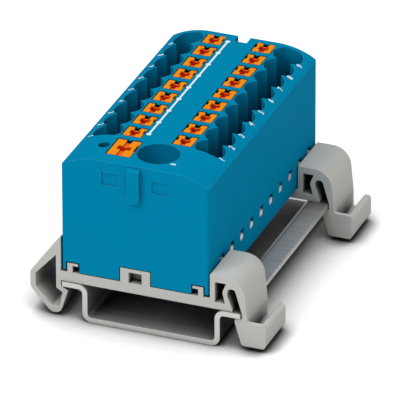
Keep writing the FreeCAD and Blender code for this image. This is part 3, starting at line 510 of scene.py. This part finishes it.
@dataclass(frozen=True)
class PrintedInk(Finish):
    """White pad-printing ink: thin, matt and a little uneven in its cover."""

    colour: str = "#EFFBFF"
    thin: str = "#DDF2F8"
    cover_mm: float = 0.6
    roughness: float = 0.6
    ior: float = 1.5

    def build(self) -> bpy.types.Material:
        """Make the material.

        Returns:
            The material, thinner here and there.
        """
        material, tree, place = self.start()
        cover = add_node(tree, "ShaderNodeTexNoise", {}, {
            "Vector": place, "Scale": per_metre(self.cover_mm), "Detail": CLOUD_DETAIL})
        colour = add_node(tree, "ShaderNodeMix", {"data_type": "RGBA"}, {
            "Factor": cover.outputs["Fac"], 6: linear(self.colour), 7: linear(self.thin)})
        shader = add_node(tree, "ShaderNodeBsdfPrincipled", {}, {
            "Base Color": colour.outputs[2], "Roughness": self.roughness, "IOR": self.ior})
        self.close(tree, shader)
        return material


@dataclass(frozen=True)
class StudioFloor(Finish):
    """Matt white paper sweep: the camera sees it nearly white, with a soft shadow on it."""

    paper: str = "#FAFAFA"
    shadow: str = "#404040"
    glow: float = 0.18
    glow_strength: float = 3.0
    core_mm: float = 3.5
    core_span: tuple[float, float] = (0.45, 0.96)
    core_least: float = 0.0
    soft_mm: float = 20.0
    soft_span: tuple[float, float] = (0.35, 0.92)
    soft_least: float = 0.3

    def openness(self, tree: bpy.types.NodeTree, reach_mm: float,
                 span: tuple[float, float], least: float) -> bpy.types.NodeSocket:
        """How open the sheet lies to the sky.

        Args:
            tree: the material's tree.
            reach_mm: how far away the object still shades the sheet.
            span: the open share of a covered place and of one that counts as open.
            least: the result where the sheet is covered.

        Returns:
            From least to one.
        """
        sky = add_node(tree, "ShaderNodeAmbientOcclusion", {"samples": SKY_SAMPLES}, {
            "Distance": reach_mm * MM})
        share = add_node(tree, "ShaderNodeMapRange", {}, {
            "Value": sky.outputs["AO"], "From Min": span[0], "From Max": span[1],
            "To Min": least})
        return share.outputs["Result"]

    def build(self) -> bpy.types.Material:
        """Make the material.

        Returns:
            The material, darker where the part stands close over it.
        """
        material, tree, _ = self.start()
        share = add_node(tree, "ShaderNodeMath", {"operation": "MULTIPLY"}, {
            0: self.openness(tree, self.core_mm, self.core_span, self.core_least),
            1: self.openness(tree, self.soft_mm, self.soft_span, self.soft_least)})
        tone = add_node(tree, "ShaderNodeMix", {"data_type": "RGBA"}, {
            "Factor": share.outputs[0], 6: linear(self.shadow), 7: linear(self.paper)})
        sheet = add_node(tree, "ShaderNodeBsdfDiffuse", {}, {"Color": tone.outputs[2]})
        strength = add_node(tree, "ShaderNodeMath", {"operation": "MULTIPLY"}, {
            0: share.outputs[0], 1: self.glow_strength})
        light = add_node(tree, "ShaderNodeEmission", {}, {
            "Color": linear(WHITE), "Strength": strength.outputs[0]})
        rays = add_node(tree, "ShaderNodeLightPath")
        seen = add_node(tree, "ShaderNodeMath", {"operation": "MAXIMUM"}, {
            0: rays.outputs["Is Camera Ray"], 1: rays.outputs["Is Glossy Ray"]})
        part = add_node(tree, "ShaderNodeMath", {"operation": "MULTIPLY"}, {
            0: seen.outputs[0], 1: self.glow})
        shader = add_node(tree, "ShaderNodeMixShader", {}, {
            0: part.outputs[0], 1: sheet.outputs[0], 2: light.outputs[0]})
        self.close(tree, shader)
        return material


@dataclass(frozen=True)
class BlockPlaces:
    """Where things are on the block, in millimetres in the shared frame."""

    middle_x: float = -3.2
    front_y: float = -27.9
    base_z: float = 9.5
    width: float = 28.8
    side_height: float = 22.1
    crown_rise: float = 2.2
    crown_flat: float = 13.6
    first_pole: float = 12.75
    pitch: float = 5.0
    poles: int = 9
    holes: tuple[Band, Band] = (Band(-13.2, -7.1, 9.8, 55.2), Band(7.1, 13.2, 9.8, 55.2))
    hole_floor_z: float = 26.5
    hole_mouth_z: float = 32.6
    buttons: tuple[Band, Band] = (Band(-7.0, -1.9, 2.5, 54.2), Band(2.8, 7.0, 10.5, 54.2))
    button_gap_z: float = 31.5
    slot_floor_z: float = 33.42
    slot_mouth_z: float = 33.72

    @property
    def crown_radius(self) -> float:
        """Radius of the two rounded shoulders of the top."""
        shoulder = (self.width - self.crown_flat) / 2
        return (shoulder ** 2 + self.crown_rise ** 2) / (2 * self.crown_rise)

    def top(self, x: float) -> float:
        """Find the height of the top face.

        Args:
            x: distance from the block's middle plane.

        Returns:
            The height over the plane that the part stands on.
        """
        past = max(abs(x) - self.crown_flat / 2, 0.0)
        drop = self.crown_radius - math.sqrt(self.crown_radius ** 2 - past ** 2)
        return self.base_z + self.side_height + self.crown_rise - drop

    def pole(self, number: int) -> float:
        """Distance from the front face to a pole; the first is number 0."""
        return self.first_pole + number * self.pitch

    def placed(self, bands: tuple[Band, ...]) -> tuple[Band, ...]:
        """Bands in metres, from x off the middle plane and y behind the front face."""
        return tuple(Band((self.middle_x + band.left) * MM, (self.middle_x + band.right) * MM,
                          (self.front_y + band.near) * MM, (self.front_y + band.far) * MM)
                     for band in bands)

    def point(self, x: float, y: float, z: float) -> Vector:
        """A point in metres, from x off the middle plane, y behind the front and height z."""
        return Vector((self.middle_x + x, self.front_y + y, z)) * MM


def clear_selection() -> None:
    """Leave object mode's selection empty."""
    if bpy.context.object and bpy.context.object.mode != "OBJECT":
        bpy.ops.object.mode_set(mode="OBJECT")
    bpy.ops.object.select_all(action="DESELECT")


def activate(piece: bpy.types.Object) -> None:
    """Make a piece the only selected and the active one.

    Args:
        piece: the piece that the next operator works on.
    """
    clear_selection()
    piece.select_set(True)
    bpy.context.view_layer.objects.active = piece


def settle(piece: bpy.types.Object) -> None:
    """Move a piece's place, turn and scale into its mesh."""
    activate(piece)
    bpy.ops.object.transform_apply(location=True, rotation=True, scale=True)


def duplicate(shape: bpy.types.Object, name: str) -> bpy.types.Object:
    """Copy a piece.

    Args:
        shape: the piece to copy.
        name: the copy's name.

    Returns:
        The copy, which has its own mesh.
    """
    activate(shape)
    bpy.ops.object.duplicate()
    piece = bpy.context.object
    piece.name = name
    return piece


def discard(shape: bpy.types.Object) -> None:
    """Delete a piece that only served for copying."""
    activate(shape)
    bpy.ops.object.delete()


def apply_modifier(piece: bpy.types.Object, kind: str, settings: dict) -> None:
    """Add a modifier to a piece and apply it.

    Args:
        piece: the piece to finish.
        kind: the modifier's type name.
        settings: the modifier's own options.
    """
    activate(piece)
    modifier = piece.modifiers.new(kind.title(), kind)
    for name, value in settings.items():
        setattr(modifier, name, value)
    bpy.ops.object.modifier_apply(modifier=modifier.name)


def dress(piece: bpy.types.Object, material: bpy.types.Material) -> None:
    """Give a piece one material all over."""
    piece.data.materials.clear()
    piece.data.materials.append(material)


@dataclass
class Markings:
    """White print on the block: pole numbers, the line with its dots and the infeed's mark."""

    places: BlockPlaces
    ink: bpy.types.Material
    height_mm: float = 1.05
    height_share: float = 0.7
    weight_mm: float = 0.04
    curve_steps: int = 3
    film_mm: float = 0.03
    lift_mm: float = 0.015
    number_x: float = 12.95
    number_shift: float = -2.05
    line_x: float = -2.2
    line_mm: float = 0.38
    dot_mm: float = 0.92
    dot_corners: int = 20
    dot_lift_mm: float = 0.002
    mark_x: float = 6.3
    mark_y: float = 3.3
    mark_long: float = 1.0
    mark_wide: float = 0.42
    pieces: list[bpy.types.Object] = field(default_factory=list)

    def wrap(self, piece: bpy.types.Object) -> None:
        """Lay a flat piece on the top face and give it the film's thickness.

        Args:
            piece: the flat piece, turned and moved to its place.
        """
        settle(piece)
        for vertex in piece.data.vertices:
            across = vertex.co.x / MM - self.places.middle_x
            vertex.co.z += (self.places.top(across) + self.lift_mm) * MM
        apply_modifier(piece, "SOLIDIFY", {"thickness": self.film_mm * MM, "offset": 1.0})
        dress(piece, self.ink)
        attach(piece, "block")
        self.pieces.append(piece)

    def figure(self, number: int) -> bpy.types.Object:
        """Model one plain number, flat at the origin.

        Args:
            number: the number to write.

        Returns:
            The flat shape, as a mesh.
        """
        clear_selection()
        bpy.ops.object.text_add()
        writing = bpy.context.object.data
        writing.body = str(number)
        writing.align_x = "CENTER"
        writing.align_y = "CENTER"
        writing.size = self.height_mm * MM / self.height_share
        writing.offset = self.weight_mm * MM
        writing.resolution_u = self.curve_steps
        bpy.ops.object.convert(target="MESH")
        return bpy.context.object

    def numbers(self) -> None:
        """Print the numbers, each row's so that it reads from its own side of the block."""
        figures = [self.figure(number) for number in range(1, self.places.poles + 1)]
        for row in Row:
            for pole, shape in enumerate(figures):
                piece = duplicate(shape, f"{row.name.lower()}_number_{pole + 1}")
                y = self.places.pole(pole) + self.number_shift
                piece.location = self.places.point(row.value * self.number_x, y, 0.0)
                piece.rotation_euler = (0.0, 0.0, row.value * math.pi / 2)
                self.wrap(piece)
        for shape in figures:
            discard(shape)

    def bar(self, name: str, area: Band) -> None:
        """Print a plain bar.

        Args:
            name: the bar's name.
            area: its limits in millimetres, off the middle plane and behind the front face.
        """
        clear_selection()
        bpy.ops.mesh.primitive_plane_add(size=1.0)
        piece = bpy.context.object
        piece.name = name
        piece.scale = ((area.right - area.left) * MM, (area.far - area.near) * MM, 1.0)
        piece.location = self.places.point((area.left + area.right) / 2,
                                           (area.near + area.far) / 2, 0.0)
        self.wrap(piece)

    def dots(self) -> None:
        """Print a dot at each pole."""
        clear_selection()
        bpy.ops.mesh.primitive_circle_add(vertices=self.dot_corners,
                                          radius=self.dot_mm / 2 * MM, fill_type="NGON")
        shape = bpy.context.object
        for pole in range(self.places.poles):
            dot = duplicate(shape, f"pole_dot_{pole + 1}")
            dot.location = self.places.point(self.line_x, self.places.pole(pole),
                                             self.dot_lift_mm)
            self.wrap(dot)
        discard(shape)

    def build(self) -> None:
        """Print everything."""
        self.numbers()
        self.bar("infeed_mark", Band(
            self.mark_x - self.mark_long / 2, self.mark_x + self.mark_long / 2,
            self.mark_y - self.mark_wide / 2, self.mark_y + self.mark_wide / 2))
        self.bar("pole_line", Band(
            self.line_x - self.line_mm / 2, self.line_x + self.line_mm / 2,
            self.places.pole(0), self.places.pole(self.places.poles - 1)))
        self.dots()


@dataclass
class ClampSprings:
    """The bent spring strips in the chambers, each a copy of its CAD node."""

    steel: bpy.types.Material
    fixed_z: float = 14.1
    keep: float = 0.62
    merge_mm: float = 0.002
    pieces: list[bpy.types.Object] = field(default_factory=list)

    def strip(self, node: str) -> None:
        """Stand a copy of a spring in its node's place, with doubled points merged, and hide
        the node.

        Args:
            node: the spring's CAD node.
        """
        piece = duplicate(frame["nodes"][node], f"{node}_strip")
        del piece["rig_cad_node"]
        bpy.ops.object.mode_set(mode="EDIT")
        bpy.ops.mesh.select_all(action="SELECT")
        bpy.ops.mesh.remove_doubles(threshold=self.merge_mm * MM)
        bpy.ops.object.mode_set(mode="OBJECT")
        dress(piece, self.steel)
        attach(piece, "block")
        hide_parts(node)
        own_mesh(piece)
        self.pieces.append(piece)

    def build(self) -> None:
        """Stand a strip under each button."""
        for node in sorted(frame["nodes"]):
            if "spring" in node:
                self.strip(node)


@dataclass
class CadDress:
    """Puts the finishes on the CAD nodes."""

    nodes: dict[str, bpy.types.Object]
    finishes: dict[str, bpy.types.Material]

    def build(self) -> None:
        """Give each node the finish whose key its name contains."""
        for name, piece in self.nodes.items():
            finish = next(self.finishes[key] for key in self.finishes if key in name)
            if not piece.material_slots:
                piece.data.materials.append(finish)
            for slot in piece.material_slots:
                slot.material = finish
            LOG.info("node %s: %s", name, finish.name)


@dataclass(frozen=True)
class SoftBox:
    """One square lamp: its place and side in metres, and its power in watts."""

    name: str
    place: tuple[float, float, float]
    side: float
    power: float


@dataclass
class Studio:
    """Floor, lamps, backdrop and camera."""

    azimuth: float = 21.358
    elevation: float = 28.037
    roll: float = -0.151
    distance_mm: float = 1449.6
    focal_px: float = 7823.3
    target_mm: tuple[float, float, float] = (-1.382, 0.1, 13.389)
    seen_from_m: float = 0.05
    seen_to_m: float = 20.0
    sheet_m: float = 6.0
    lit_point_m: tuple[float, float, float] = (0.0, 0.0, 0.015)
    surround: float = 0.25
    key: SoftBox = SoftBox("key_box", (-0.35, -0.65, 0.75), 0.60, 4.7)
    top: SoftBox = SoftBox("top_box", (0.22, -0.15, 0.92), 0.70, 5.0)

    def floor(self) -> None:
        """A wide sheet under the part."""
        clear_selection()
        bpy.ops.mesh.primitive_plane_add(size=self.sheet_m, location=(0.0, 0.0, 0.0))
        floor = bpy.context.object
        floor.name = "studio_floor"
        settle(floor)
        dress(floor, StudioFloor("paper_sweep").build())

    def lamp(self, box: SoftBox) -> None:
        """Set up a soft box that faces the part.

        Args:
            box: the lamp's place, side and power.
        """
        data = bpy.data.lights.new(box.name, "AREA")
        data.shape = "SQUARE"
        data.size = box.side
        data.energy = box.power
        lamp = bpy.data.objects.new(box.name, data)
        bpy.context.scene.collection.objects.link(lamp)
        lamp.location = box.place
        away = Vector(box.place) - Vector(self.lit_point_m)
        lamp.rotation_euler = away.to_track_quat("Z", "Y").to_euler()

    def world(self) -> None:
        """An even surrounding that lights the part from all sides and looks white itself."""
        world = bpy.data.worlds.new("studio")
        bpy.context.scene.world = world
        world.use_nodes = True
        tree = world.node_tree
        tree.nodes.clear()
        rays = add_node(tree, "ShaderNodeLightPath")
        seen = add_node(tree, "ShaderNodeMath", {"operation": "MAXIMUM"}, {
            0: rays.outputs["Is Camera Ray"], 1: rays.outputs["Is Transmission Ray"]})
        soft = add_node(tree, "ShaderNodeBackground", {}, {
            "Color": linear(WHITE), "Strength": self.surround})
        white = add_node(tree, "ShaderNodeBackground", {}, {
            "Color": linear(WHITE), "Strength": 1.0})
        mixed = add_node(tree, "ShaderNodeMixShader", {}, {
            0: seen.outputs[0], 1: soft.outputs[0], 2: white.outputs[0]})
        add_node(tree, "ShaderNodeOutputWorld", {}, {"Surface": mixed.outputs[0]})

    def camera(self) -> None:
        """The camera at the photograph's angle, for a square frame."""
        turn, lift = math.radians(self.azimuth), math.radians(self.elevation)
        back = Vector((math.sin(turn) * math.cos(lift), -math.cos(turn) * math.cos(lift),
                       math.sin(lift)))
        place = (Vector(self.target_mm) + back * self.distance_mm) * MM
        level = (-back).cross(Vector((0, 0, 1))).normalized()
        upright = level.cross(-back)
        tilt = math.radians(self.roll)
        right = level * math.cos(tilt) + upright * math.sin(tilt)
        up = -level * math.sin(tilt) + upright * math.cos(tilt)
        data = bpy.data.cameras.new("photo_camera")
        data.sensor_width = SENSOR_MM
        data.lens = self.focal_px / PICTURE_SIDE * SENSOR_MM
        data.clip_start = self.seen_from_m
        data.clip_end = self.seen_to_m
        camera = bpy.data.objects.new("photo_camera", data)
        bpy.context.scene.collection.objects.link(camera)
        turned = Matrix((right, up, back)).transposed().to_4x4()
        camera.matrix_world = Matrix.Translation(place) @ turned
        bpy.context.scene.camera = camera

    def build(self) -> None:
        """Set the studio up."""
        self.floor()
        self.lamp(self.key)
        self.lamp(self.top)
        self.world()
        self.camera()
        bpy.context.scene.view_settings.view_transform = "Standard"


def make_finishes(places: BlockPlaces) -> dict[str, bpy.types.Material]:
    """Make the finish of each CAD node, keyed by a word in the node's name.

    Args:
        places: where things are on the block.

    Returns:
        The materials by key word.
    """
    # Glass-filled polyamide, pigmented through: a deep even blue that hardly shines.
    # Its edges get a pale painted highlight, with some scuffing.
    blue = MouldedPlastic(
        "blue_polyamide", colour="#0087B1", shade="#0082AB", worn="#3DA9CD", roughness=0.55,
        gloss=0.006, ior=1.35, crevice_mm=5.0, crevice=0.16, crevice_span=(0.08, 0.62))
    housing = replace(
        blue, bands=places.placed(places.buttons), band_floor=places.button_gap_z * MM,
        wells=places.placed(places.holes), well_floor=places.hole_floor_z * MM,
        well_mouth=places.hole_mouth_z * MM)
    # The same plastic in light grey: dull, with deep soft shade under the hooks.
    # Its edges get a pale painted highlight too, with some scuffing.
    foot = MouldedPlastic(
        "grey_polyamide", colour="#C4C4BF", shade="#BEBEB9", worn="#E6E6E2", roughness=0.5,
        gloss=0.12, crevice_mm=7.0, crevice=0.03, crevice_span=(0.12, 0.44))
    # Unfilled polyamide lets light through: bright orange, with painted shade in the driver
    # slots.
    button = MouldedPlastic(
        "orange_polyamide", colour="#F9970F", shade="#F08A0A", roughness=0.42, edge_mm=0.08,
        gloss=0.1, crevice_mm=0.5, crevice=0.7, recess="#C4300E", recess_floor="#F0651C",
        recess_below=places.slot_floor_z * MM, recess_above=places.slot_mouth_z * MM)
    # Passivated zinc on cold-rolled steel: a dull grey with broad reflections.
    rail = RolledStrip(
        "zinc_plated_sheet", colour="#CDCBC8", streak="#9A9896", roughness=0.36, metal=0.3,
        sawn="#CFCFCB", sawn_metal=0.1, edge_mm=0.1, streak_mm=0.9, crevice_mm=13.0,
        crevice=0.012, crevice_span=(0.22, 0.84))
    # Matt tin on stamped copper: nearly white, without a mirror image.
    busbar = RolledStrip(
        "tinned_copper", colour="#EFF6FA", streak="#DCE6EC", roughness=0.36, metal=0.4,
        sawn="#EAF2F6", sawn_metal=0.4, edge_mm=0.06)
    # Bare stainless strip: darker and shinier than the rail.
    spring = RolledStrip(
        "spring_strip", colour="#A3A3A0", streak="#8F8F8C", roughness=0.28, edge_mm=0.04)
    finishes = {"housing": housing, "cover": blue, "foot": foot, "button": button,
                "rail": rail, "busbar": busbar, "spring": spring}
    return {key: finish.build() for key, finish in finishes.items()}


def main() -> None:
    """Dress the part, set up the studio and report each piece."""
    logging.basicConfig(level=logging.INFO)
    places = BlockPlaces()
    finishes = make_finishes(places)
    CadDress(frame["nodes"], finishes).build()
    springs = ClampSprings(finishes["spring"])
    springs.build()
    markings = Markings(places, PrintedInk("pad_printing_ink").build())
    markings.build()
    for piece in springs.pieces + markings.pieces:
        LOG.info("piece %s: %d faces", piece.name, len(piece.data.polygons))
    Studio().build()


if __name__ == "__main__":
    main()
